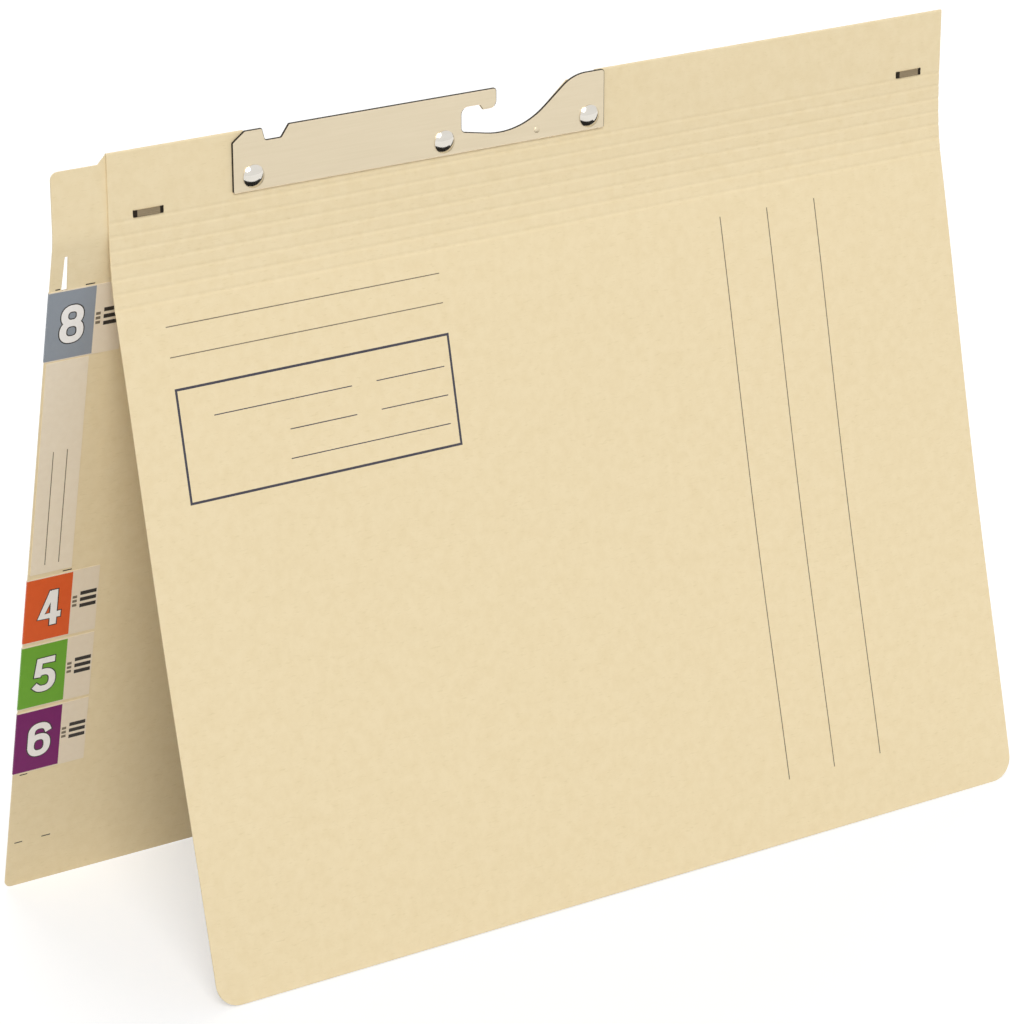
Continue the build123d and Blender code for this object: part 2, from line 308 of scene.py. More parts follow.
@dataclass(frozen=True)
class RolledMetal(Finish):
    """Rolled, plated or drawn metal: fine streaks along the rolling direction that spread its gloss."""

    colour: str = "#E3D5BA"
    streak: str = "#DED0B3"
    roughness_low: float = 0.36
    roughness_high: float = 0.44
    # Real rolling streaks are a few hundredths of a millimetre wide. They are drawn coarser, so that they
    # show, and the gloss spreads between these values of their noise.
    streak_mm: float = 0.6
    streak_stretch: float = 30.0
    streak_detail: float = 3.0
    streak_range: tuple[float, float] = (0.3, 0.7)
    grain_height_mm: float = 0.002
    grain_strength: float = 0.3

    def shade(self, tree: ShaderNodeTree) -> Node:
        """Shade with a streaky metal colour and roughness and a slight grain.

        Args:
            tree: Node tree of the material.

        Returns:
            The surface shader.
        """
        place = add_node(tree, "TexCoord").outputs["Object"]
        along = add_node(
            tree, "Mapping", {"Scale": (1 / self.streak_stretch, 1.0, 1.0)}, {"Vector": place}
        )
        streaks = add_node(
            tree,
            "TexNoise",
            {"Scale": per_metre(self.streak_mm), "Detail": self.streak_detail},
            {"Vector": along.outputs[0]},
        )
        colour = add_node(
            tree,
            "Mix",
            {"data_type": "RGBA", MIX_FIRST: linear(self.colour), MIX_SECOND: linear(self.streak)},
            {"Factor": streaks.outputs["Fac"]},
        )
        low, high = self.streak_range
        rough = add_node(
            tree,
            "MapRange",
            {
                "From Min": low,
                "From Max": high,
                "To Min": self.roughness_low,
                "To Max": self.roughness_high,
            },
            {"Value": streaks.outputs["Fac"]},
        )
        bump = add_node(
            tree,
            "Bump",
            {"Strength": self.grain_strength, "Distance": self.grain_height_mm * MM},
            {"Height": streaks.outputs["Fac"]},
        )
        return add_node(
            tree,
            "BsdfPrincipled",
            {"Metallic": 1.0},
            {
                "Base Color": colour.outputs[MIX_RESULT],
                "Roughness": rough.outputs[0],
                "Normal": bump.outputs[0],
            },
        )


@dataclass(frozen=True)
class PrintedPaper(Finish):
    """Coated label paper with a solid print: a satin skin with slightly uneven ink."""

    colour: str = "#F0E2CB"
    uneven: str = "#E9D9C0"
    uneven_mm: float = 2.2
    uneven_detail: float = 4.0
    roughness: float = 0.45
    gloss: float = 0.4

    def shade(self, tree: ShaderNodeTree) -> Node:
        """Shade with two close tones of ink under a satin gloss.

        Args:
            tree: Node tree of the material.

        Returns:
            The surface shader.
        """
        colour = self.mottle(tree, (self.colour, self.uneven), self.uneven_mm, self.uneven_detail)
        return add_node(
            tree,
            "BsdfPrincipled",
            {"Roughness": self.roughness, "IOR": PAPER_IOR, "Specular IOR Level": self.gloss},
            {"Base Color": colour},
        )


# Manila board, calendered: warm and matt, with faint clouds and fibres that break up its even tone.
MANILA = PressedCard("manila_board_calendered")
# Grey board, pressed: duller and more mottled than the cover that it is glued to.
BACKING = PressedCard("grey_board_pressed", colour="#D9C79C", cloud="#CDBA8E", fibre="#A8946A")
# Sheet steel, plated: a warm satin sheen, brushed out along the plate.
PLATED_STEEL = RolledMetal("steel_plated_satin")
# Sheet steel, sheared: a dark edge that draws a thin outline round the plate, partly the bare steel of the cut and
# partly painted shade on the edges that face up and sideways.
SHEARED_AND_SHADED_STEEL = RolledMetal(
    "steel_sheared_edge_and_painted_shade",
    colour="#4A443C",
    streak="#2E2A25",
    roughness_low=0.45,
    roughness_high=0.6,
)
# Sheet steel, pale and dull: a painted highlight on the plate's downward-facing lower edges, so that they part
# softly from the card.
PAINTED_HIGHLIGHT_STEEL = RolledMetal(
    "steel_edge_painted_highlight",
    colour="#FFF4E0",
    streak="#F6EBD6",
    roughness_low=0.8,
    roughness_high=0.95,
)
# Nickel, bright: nearly a mirror, with small sharp highlights and a dark lower rim.
NICKEL = RolledMetal(
    "nickel_bright",
    colour="#E2DED6",
    streak="#D8D3C9",
    roughness_low=0.1,
    roughness_high=0.14,
    streak_mm=1.5,
)
# Steel wire, drawn and flattened: a dull brown gloss.
STAPLE_WIRE = RolledMetal(
    "steel_wire_drawn",
    colour="#9C8D74",
    streak="#7C6D54",
    roughness_low=0.25,
    roughness_high=0.4,
    streak_mm=0.3,
)
# Steel wire, almost black: painted shade at both ends of a staple, where the wire turns down into the card, so
# that it ends in two dark spots.
SHADED_WIRE_END = RolledMetal(
    "steel_wire_end_painted_shade",
    colour="#3A342C",
    streak="#241F1A",
    roughness_low=0.4,
    roughness_high=0.55,
)
# Tinplate, rolled: cooler, paler and smoother than the hanger plate.
TINPLATE = RolledMetal(
    "tinplate_rolled",
    colour="#D2D2CE",
    streak="#C2C2BE",
    roughness_low=0.2,
    roughness_high=0.34,
)
# Label paper, coated: off-white with a satin skin.
LABEL_PAPER = PrintedPaper("label_paper_coated")
# Label paper, uncoated: as pale, but without the satin.
NAME_PAPER = PrintedPaper("label_paper_uncoated", colour="#F4E7D0", uneven="#ECDDC4", roughness=0.6)
# Offset inks: a soft black, a blue black for the form, a thin brown grey for rules, and paper left white.
BLACK_INK = PrintedPaper("ink_black_offset", colour="#2B2824", uneven="#37332E", uneven_mm=0.8)
FORM_INK = PrintedPaper("ink_blue_black_offset", colour="#33323F", uneven="#4A4852", uneven_mm=0.8)
RULE_INK = PrintedPaper("ink_rule_offset", colour="#6C6252", uneven="#857A66", uneven_mm=0.8)
WHITE_INK = PrintedPaper("ink_white_knocked_out", colour="#FBF8F4", uneven="#F5F1EC", uneven_mm=1.0)


class LabelPrint(Enum):
    """Solid colours of the number labels: full, flat tones, a little uneven as offset print is."""

    GREY = PrintedPaper("label_ink_grey", colour="#969DA5", uneven="#8F969F")
    ORANGE = PrintedPaper("label_ink_orange", colour="#E5622A", uneven="#DE5A24")
    GREEN = PrintedPaper("label_ink_green", colour="#72AE33", uneven="#6AA62D")
    PURPLE = PrintedPaper("label_ink_purple", colour="#7A0E66", uneven="#720B5F")


def slab(low_mm: Sequence[float], high_mm: Sequence[float]) -> BMesh:
    """Make a block between two corners.

    Args:
        low_mm: Lowest corner across, out and down, in millimetres.
        high_mm: Highest corner.

    Returns:
        A bmesh in metres.
    """
    low = Vector(low_mm) * MM
    high = Vector(high_mm) * MM
    bm = bmesh.new()
    place = Matrix.Translation((low + high) / 2) @ Matrix.Diagonal((*(high - low), 1))
    bmesh.ops.create_cube(bm, size=1.0, matrix=place)
    return bm


def cut(bm: BMesh, axis: Axis, places_mm: Iterable[float]) -> None:
    """Score a bmesh across with straight cuts, leaving it whole.

    Args:
        bm: The bmesh, in a sheet's own axes.
        axis: Axis that the cuts stand square to.
        places_mm: Where the cuts lie along it.
    """
    normal = Vector((0.0, 0.0, 0.0))
    normal[axis.value] = 1.0
    for place in places_mm:
        geometry = bm.verts[:] + bm.edges[:] + bm.faces[:]
        bmesh.ops.bisect_plane(
            bm, geom=geometry, dist=CUT_SNAP, plane_co=normal * place * MM, plane_no=normal
        )


def round_corner(bm: BMesh, across_mm: float, down_mm: float, radius_mm: float) -> None:
    """Round a corner of a flat sheet.

    Args:
        bm: The sheet, in its own axes.
        across_mm: Place of the corner across the sheet.
        down_mm: Place of the corner down the sheet.
        radius_mm: Radius of the rounding.
    """
    corner = Vector((across_mm * MM, down_mm * MM))

    def at_corner(edge: BMEdge) -> bool:
        """Whether both ends of an edge lie at the corner."""
        return all((vert.co.xz - corner).length < SAME_PLACE for vert in edge.verts)

    edges = [edge for edge in bm.edges if at_corner(edge)]
    bmesh.ops.bevel(
        bm,
        geom=edges,
        offset=radius_mm * MM,
        offset_type="OFFSET",
        segments=CORNER_STEPS,
        profile=0.5,
        affect="EDGES",
        material=-1,
    )


def soften(bm: BMesh, edges: Sequence[BMEdge], width_mm: float, clamp: bool = True) -> None:
    """Take the sharpness off edges with a narrow round.

    Args:
        bm: The bmesh.
        edges: Edges to round.
        width_mm: Width of the round.
        clamp: Whether the shortest edge narrows the round.
    """
    bmesh.ops.bevel(
        bm,
        geom=list(edges),
        offset=width_mm * MM,
        offset_type="OFFSET",
        segments=SOFT_STEPS,
        profile=0.5,
        affect="EDGES",
        material=-1,
        clamp_overlap=clamp,
    )


def sharp_edges(bm: BMesh) -> list[BMEdge]:
    """Edges between two faces that meet at a sharp angle."""
    inner = [edge for edge in bm.edges if len(edge.link_faces) == 2]
    return [edge for edge in inner if edge.calc_face_angle() > SHARP_ANGLE]


def paint(bm: BMesh, number: int) -> None:
    """Give every face of a bmesh the finish with this number."""
    for face in bm.faces:
        face.material_index = number


def join(whole: BMesh, part: BMesh) -> None:
    """Add a bmesh to another.

    Args:
        whole: The bmesh that grows.
        part: The bmesh to add; it is used up.
    """
    mesh = bpy.data.meshes.new("join")
    part.to_mesh(mesh)
    part.free()
    whole.from_mesh(mesh)
    bpy.data.meshes.remove(mesh)


def printed_bar(place_mm: Sequence[float], skin_mm: float, ink: int = 0) -> BMesh:
    """Make a bar of ink on a sheet's skin.

    Args:
        place_mm: Left, top, right and foot of the bar in the sheet's own axes.
        skin_mm: Place of the skin along the axis out of the sheet.
        ink: Number of the ink among the finishes of its piece.

    Returns:
        A bmesh in the sheet's own axes.
    """
    left, top, right, foot = place_mm
    bar = slab((left, skin_mm - FILM_MM, top), (right, skin_mm + FILM_MM, foot))
    paint(bar, ink)
    return bar


def node_copy(node: str) -> BMesh:
    """Merged copy of a CAD node's mesh, its flat faces joined.

    Args:
        node: Name of the CAD node.

    Returns:
        A bmesh in the frame.
    """
    bm = bmesh.new()
    bm.from_mesh(frame["nodes"][node].data)
    bmesh.ops.remove_doubles(bm, verts=bm.verts[:], dist=SAME_PLACE)
    bmesh.ops.dissolve_limit(
        bm, angle_limit=FLAT_ANGLE, verts=bm.verts[:], edges=bm.edges[:], delimit={"NORMAL"}
    )
    paint(bm, 0)
    return bm


def add_piece(name: str, bm: BMesh, finishes: Sequence[Finish], crisp: float = CRISP_ANGLE) -> Object:
    """Turn a bmesh into an object at the origin, smooth but for its crisp edges.

    Args:
        name: Name of the piece.
        bm: Its shape in the frame; it is used up.
        finishes: Finishes in the order of the faces' material numbers.
        crisp: Face angle above which an edge stays crisp.

    Returns:
        The new object.
    """
    bmesh.ops.recalc_face_normals(bm, faces=bm.faces[:])
    for face in bm.faces:
        face.smooth = True
    for edge in bm.edges:
        edge.smooth = len(edge.link_faces) == 2 and edge.calc_face_angle() < crisp
    mesh = bpy.data.meshes.new(name)
    bm.to_mesh(mesh)
    bm.free()
    for finish in finishes:
        mesh.materials.append(finish.material)
    piece = bpy.data.objects.new(name, mesh)
    bpy.context.scene.collection.objects.link(piece)
    LOG.info("%s: %d faces", name, len(mesh.polygons))
    return piece


def seat(piece: Object, body: str, nodes: Sequence[str] = ()) -> Object:
    """Let a piece ride on a body and stand for CAD nodes, which are hidden.

    Args:
        piece: The finished piece.
        body: CAD body that it moves with.
        nodes: CAD nodes that it stands for.

    Returns:
        The same piece.
    """
    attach(piece, body)
    if nodes:
        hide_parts(*nodes)
    return piece


@dataclass(frozen=True)
class Sheet:
    """Where a flat card sheet hangs: its score axis, how far it leans and which way it faces."""

    axis: Vector
    lean: float
    side: Side
    bow_mm: float = 0.0
    length_mm: float = 1.0

    @property
    def down(self) -> Vector:
        """Direction down the sheet."""
        return Vector((0.0, self.side.value * math.sin(self.lean), -math.cos(self.lean)))

    @property
    def out(self) -> Vector:
        """Direction out of the sheet's outer face."""
        return Vector((0.0, self.side.value * math.cos(self.lean), math.sin(self.lean)))

    def point(self, own: Vector) -> Vector:
        """Point of the frame for a point across, out and down in the sheet's own axes."""
        sag = self.bow_mm * MM * math.sin(math.pi * own.z / (self.length_mm * MM)) ** 2
        return Vector((own.x, self.axis.y, self.axis.z)) + self.out * (own.y - sag) + self.down * own.z

    def own(self, point: Vector) -> Vector:
        """Place of a point of the frame in the axes of a sheet without bow."""
        reach = point - Vector((0.0, self.axis.y, self.axis.z))
        return Vector((point.x, reach.dot(self.out), reach.dot(self.down)))

    def lay(self, bm: BMesh) -> BMesh:
        """Move a bmesh from the sheet's own axes into the frame.

        Args:
            bm: The bmesh to move.

        Returns:
            The same bmesh.
        """
        for vert in bm.verts:
            vert.co = self.point(vert.co)
        return bm


@dataclass(frozen=True)
class Card:
    """The folder's board: its thickness and how its scores are pressed."""

    thickness_mm: float = 0.45
    bead_mm: float = 0.05
    crease_reach_mm: float = 0.95
    groove_depth_mm: float = 0.1
    groove_rows: int = 12
    edge_mm: float = 0.06

    @property
    def skin_mm(self) -> float:
        """Outer face, counted from the score axis."""
        return self.bead_mm

    @property
    def inside_mm(self) -> float:
        """Inner face, counted from the score axis."""
        return self.bead_mm - self.thickness_mm

    def sheet(self, left_mm: float, right_mm: float, top_mm: float, foot_mm: float) -> BMesh:
        """Flat piece of board in a sheet's own axes."""
        return slab((left_mm, self.inside_mm, top_mm), (right_mm, self.skin_mm, foot_mm))

    def flap(self, left_mm: float, right_mm: float, foot_mm: float, corners_mm: tuple[float, float]) -> BMesh:
        """Flat flap that starts below a crease, with rounded lower corners and softened edges.

        Args:
            left_mm: Lowest place across.
            right_mm: Highest place across.
            foot_mm: Place of its lower edge.
            corners_mm: Radii of its left and right lower corner.

        Returns:
            A bmesh in a sheet's own axes.
        """
        bm = self.sheet(left_mm, right_mm, self.crease_reach_mm, foot_mm)
        for across, radius in zip((left_mm, right_mm), corners_mm):
            round_corner(bm, across, foot_mm, radius)
        seam = self.crease_reach_mm * MM + SAME_PLACE
        loose = [edge for edge in sharp_edges(bm) if max(vert.co.z for vert in edge.verts) > seam]
        soften(bm, loose, self.edge_mm)
        return bm

    def turned(self, share: float) -> float:
        """Part of a score's turn that is made at a place from -1 above the score to 1 below it.

        Args:
            share: The place, as a share of the crease's reach.

        Returns:
            Between 0 and 1: smooth in a pressed groove, at once in plain board.
        """
        if not self.groove_depth_mm:
            return float(share > 0)
        turn = (share + 1) / 2
        return turn * turn * (3 - 2 * turn)

    def crease(self, upper: Sheet, lower: Sheet, left_mm: float, right_mm: float) -> BMesh:
        """Narrow band of board that turns in a score, with a groove outside and a ridge inside.

        Args:
            upper: The sheet above the score.
            lower: The sheet below it, whose axis is the score's.
            left_mm: Lowest place across.
            right_mm: Highest place across.

        Returns:
            A bmesh in the frame.
        """
        reach = self.crease_reach_mm
        bm = self.sheet(left_mm, right_mm, -reach, reach)
        steps = range(1, self.groove_rows)
        cut(bm, Axis.DOWN, [reach * (2 * step / self.groove_rows - 1) for step in steps])
        for vert in bm.verts:
            share = vert.co.z / (reach * MM)
            vert.co.y -= self.groove_depth_mm * MM * math.cos(share * math.pi / 2) ** 2
            lean = upper.lean + self.turned(share) * (lower.lean - upper.lean)
            vert.co = replace(lower, lean=lean, bow_mm=0.0).point(vert.co)
        return bm

    def bend(self, piece: Object, upper: Sheet, lower: Sheet) -> None:
        """Bake a crease's placement into its mesh; where its turn starts and ends is worked out but not used.

        Args:
            piece: The crease.
            upper: The sheet above the score.
            lower: The sheet below it.
        """
        reach = Vector((0.0, 0.0, self.crease_reach_mm * MM))
        start = replace(lower, lean=upper.lean, bow_mm=0.0).point(-reach)
        end = replace(lower, bow_mm=0.0).point(reach)
        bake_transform(piece)


CARD = Card()
# The same board where it bends without a pressed groove.
PLAIN_CARD = replace(CARD, groove_depth_mm=0.0)


def score_axis(joint: str) -> Vector:
    """Point on a score's axis, from the frame's joint of that name."""
    return Vector(next(j["pos_m"] for j in frame["joints"] if j["name"] == joint))


def lean_of(mount: str) -> float:
    """Lean of a cover from the vertical in radians, from the mount at its lower edge."""
    axis = next(m["axis"] for m in frame["record"]["mounts"] if m["name"] == mount)
    return math.atan2(abs(axis[1]), -axis[2])


@dataclass
class FrontPrint:
    """Form printed on the front cover, in millimetres from its left edge and below the lowest score.

    A rule is its left, right and place down, and the box its left, top, right and foot.
    """

    rule_mm: float = 0.32
    frame_rule_mm: float = 0.8
    heading_rules: tuple[tuple[float, float, float], ...] = ((16.0, 114.4, 8.0), (16.0, 114.4, 17.5))
    box: tuple[float, float, float, float] = (16.4, 27.7, 114.6, 63.4)
    field_rules: tuple[tuple[float, float, float], ...] = (
        (28.3, 77.7, 37.65),
        (86.7, 111.9, 37.65),
        (54.0, 78.2, 46.95),
        (87.2, 112.0, 46.95),
        (53.0, 111.6, 56.2),
    )
    column_rules: tuple[float, ...] = (224.1, 243.2, 262.8)
    column_top: float = 7.8
    column_foot: float = 200.8
    column_rule_mm: float = 0.36

    def bars(self) -> list[tuple[tuple[float, float, float, float], Finish]]:
        """List the bars that make up the form.

        Returns:
            Left, top, right and foot of each bar, with its ink.
        """
        made = []
        half = self.rule_mm / 2
        for rules, ink in ((self.heading_rules, RULE_INK), (self.field_rules, FORM_INK)):
            for left, right, down in rules:
                made.append(((left, down - half, right, down + half), ink))
        half = self.column_rule_mm / 2
        for across in self.column_rules:
            made.append(((across - half, self.column_top, across + half, self.column_foot), RULE_INK))
        half = self.frame_rule_mm / 2
        left, top, right, foot = self.box
        for down in (top, foot):
            made.append(((left - half, down - half, right + half, down + half), FORM_INK))
        for across in (left, right):
            made.append(((across - half, top + half, across + half, foot - half), FORM_INK))
        return made

    def build(self, sheet: Sheet, left_mm: float, row_mm: float) -> Object:
        """Print the form on the front cover.

        Args:
            sheet: The front cover's sheet.
            left_mm: The cover's left edge in the frame.
            row_mm: Spacing of the cover's rows, which the print follows.

        Returns:
            The printed piece.
        """
        finishes = [FORM_INK, RULE_INK]
        whole = bmesh.new()
        for (left, top, right, foot), ink in self.bars():
            place = (left_mm + left, top, left_mm + right, foot)
            bar = printed_bar(place, CARD.skin_mm, finishes.index(ink))
            rows = range(math.floor(top / row_mm) + 1, math.floor(foot / row_mm) + 1)
            cut(bar, Axis.DOWN, [row * row_mm for row in rows])
            join(whole, bar)
        return add_piece("front_print", sheet.lay(whole), finishes)


@dataclass
class FrontCover:
    """Front of the folder: seven creases, six strips between them and the flap with its print."""

    scores: int = 7
    flap_length_mm: float = 222.0
    corner_mm: float = 8.0
    bow_mm: float = 1.4
    row_mm: float = 6.0
    form: FrontPrint = field(default_factory=FrontPrint)
    left_mm: float = field(init=False)
    right_mm: float = field(init=False)
    pitch_mm: float = field(init=False)
    sheets: list[Sheet] = field(init=False)
    bodies: list[str] = field(init=False)

    def __post_init__(self) -> None:
        """Take the sheets' places from the frame."""
        low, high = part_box("front_flap")
        self.left_mm = low.x / MM
        self.right_mm = high.x / MM
        axes = [score_axis(f"front_score_{number}") for number in range(1, self.scores + 1)]
        self.sheets = [Sheet(axes[0], 0.0, Side.FRONT)]
        for axis, following in zip(axes, axes[1:]):
            step = following - axis
            self.sheets.append(Sheet(axis, math.atan2(-step.y, -step.z), Side.FRONT))
        lean = lean_of("front_foot")
        self.sheets.append(Sheet(axes[-1], lean, Side.FRONT, self.bow_mm, self.flap_length_mm))
        self.pitch_mm = (axes[1] - axes[0]).length / MM
        self.bodies = ["header"] + [f"strip_{number}" for number in range(1, self.scores)] + ["front_cover"]

    def build(self) -> None:
        """Build every piece of the front cover and seat all but the creases."""
        for number in range(1, self.scores + 1):
            self.crease(number)
        for number in range(1, self.scores):
            self.strip(number)
        self.flap()
        printed = self.form.build(self.sheets[-1], self.left_mm, self.row_mm)
        seat(printed, "front_cover")

    def crease(self, number: int) -> None:
        """Crease of one score.

        Args:
            number: The score, counted from the top.
        """
        upper, lower = self.sheets[number - 1 : number + 1]
        bm = CARD.crease(upper, lower, self.left_mm, self.right_mm)
        piece = add_piece(f"front_crease_{number}", bm, [MANILA])
        CARD.bend(piece, upper, lower)

    def strip(self, number: int) -> None:
        """Flat strip below one score.

        Args:
            number: The score, counted from the top.
        """
        reach = CARD.crease_reach_mm
        bm = CARD.sheet(self.left_mm, self.right_mm, reach, self.pitch_mm - reach)
        name = f"front_strip_{number}"
        piece = add_piece(f"{name}_card", self.sheets[number].lay(bm), [MANILA])
        seat(piece, self.bodies[number], [name])

    def flap(self) -> None:
        """Flap below the lowest score, gently bowed, with rounded lower corners."""
        corners = (self.corner_mm, self.corner_mm)
        bm = CARD.flap(self.left_mm, self.right_mm, self.flap_length_mm, corners)
        rows = math.floor(self.flap_length_mm / self.row_mm)
        cut(bm, Axis.DOWN, [row * self.row_mm for row in range(1, rows + 1)])
        piece = add_piece("front_flap_card", self.sheets[-1].lay(bm), [MANILA])
        seat(piece, "front_cover", ["front_flap"])


@dataclass
class RearCover:
    """Rear of the folder: one crease and the flap with the index tab and its slit.

    The slit is its left, top, right and foot, and a tick its left, right and place down, in millimetres
    from the flap's left edge and below the score.
    """

    length_mm: float = 246.0
    tab_corner_mm: float = 2.5
    corner_mm: float = 8.0
    slit: tuple[float, float, float, float] = (3.9, 5.5, 6.1, 19.5)
    slit_taper_mm: tuple[float, float] = (0.45, -0.65)
    ease_reach_mm: float = 3.2
    ease_step_mm: float = 0.4
    ticks: tuple[tuple[float, float, float], ...] = (
        (2.0, 3.6, 16.6),
        (12.3, 15.5, 16.6),
        (12.3, 15.5, 121.7),
        (2.4, 5.2, 200.0),
        (2.4, 5.2, 228.0),
        (12.3, 15.5, 228.0),
    )
    tick_rule_mm: float = 0.4
    left_mm: float = field(init=False)
    right_mm: float = field(init=False)
    upper: Sheet = field(init=False)
    sheet: Sheet = field(init=False)

    def __post_init__(self) -> None:
        """Take the sheet's place from the frame."""
        low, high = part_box("rear_flap")
        self.left_mm = low.x / MM
        self.right_mm = high.x / MM
        axis = score_axis("rear_score")
        self.upper = Sheet(axis, 0.0, Side.REAR)
        self.sheet = Sheet(axis, lean_of("rear_foot"), Side.REAR)

    @property
    def ease_rows(self) -> list[float]:
        """Distances from the score of the rows that its easing bends."""
        rows = math.floor((self.ease_reach_mm - CARD.crease_reach_mm) / self.ease_step_mm)
        return [CARD.crease_reach_mm + row * self.ease_step_mm for row in range(1, rows + 1)]

    def ease(self, verts: Iterable[BMVert]) -> None:
        """Turn the corner at the score into an arc by moving the board near it outwards.

        Args:
            verts: Points of the board in the frame; those out of the arc's reach stay.
        """
        reach = self.ease_reach_mm * MM
        for vert in verts:
            room = max(0.0, reach - abs(vert.co.z - self.sheet.axis.z))
            # A parabola that touches both sheets where the arc ends lies this far from their corner.
            vert.co.y += self.sheet.lean * room * room / (4 * reach)

    def build(self) -> None:
        """Build the rear cover's pieces and seat all but the crease."""
        bm = PLAIN_CARD.crease(self.upper, self.sheet, self.left_mm, self.right_mm)
        self.ease(bm.verts)
        crease = add_piece("rear_crease", bm, [MANILA])
        CARD.bend(crease, self.upper, self.sheet)
        self.flap()
        self.tick_marks()

    def flap(self) -> None:
        """Flap with the tab's slit cut through it."""
        corners = (self.tab_corner_mm, self.corner_mm)
        bm = CARD.flap(self.left_mm, self.right_mm, self.length_mm, corners)
        left, slit_top, right, slit_foot = self.slit
        cut(bm, Axis.ACROSS, [self.left_mm + left, self.left_mm + right])
        cut(bm, Axis.DOWN, [slit_top, slit_foot])

        def in_slit(face: BMFace) -> bool:
            """Whether a face lies within the slit."""
            middle = face.calc_center_median() / MM
            return left < middle.x - self.left_mm < right and slit_top < middle.z < slit_foot

        inside = [face for face in bm.faces if in_slit(face)]
        bmesh.ops.delete(bm, geom=inside, context="FACES")
        rim = [edge for edge in bm.edges if len(edge.link_faces) == 1]
        bmesh.ops.bridge_loops(bm, edges=rim)
        for across, shift in zip((left, right), self.slit_taper_mm):
            corner = Vector((self.left_mm + across, slit_top)) * MM
            for vert in bm.verts:
                if (vert.co.xz - corner).length < SAME_PLACE:
                    vert.co.x += shift * MM
        cut(bm, Axis.DOWN, self.ease_rows)
        self.sheet.lay(bm)
        self.ease(bm.verts)
        piece = add_piece("rear_flap_card", bm, [MANILA])
        seat(piece, "rear_cover", ["rear_flap"])

    def tick_marks(self) -> None:
        """Short black ticks down the tab's inner face."""
        whole = bmesh.new()
        half = self.tick_rule_mm / 2
        for left, right, down in self.ticks:
            place = (self.left_mm + left, down - half, self.left_mm + right, down + half)
            join(whole, printed_bar(place, CARD.inside_mm))
        piece = add_piece("tab_ticks", self.sheet.lay(whole), [BLACK_INK])
        seat(piece, "rear_cover")


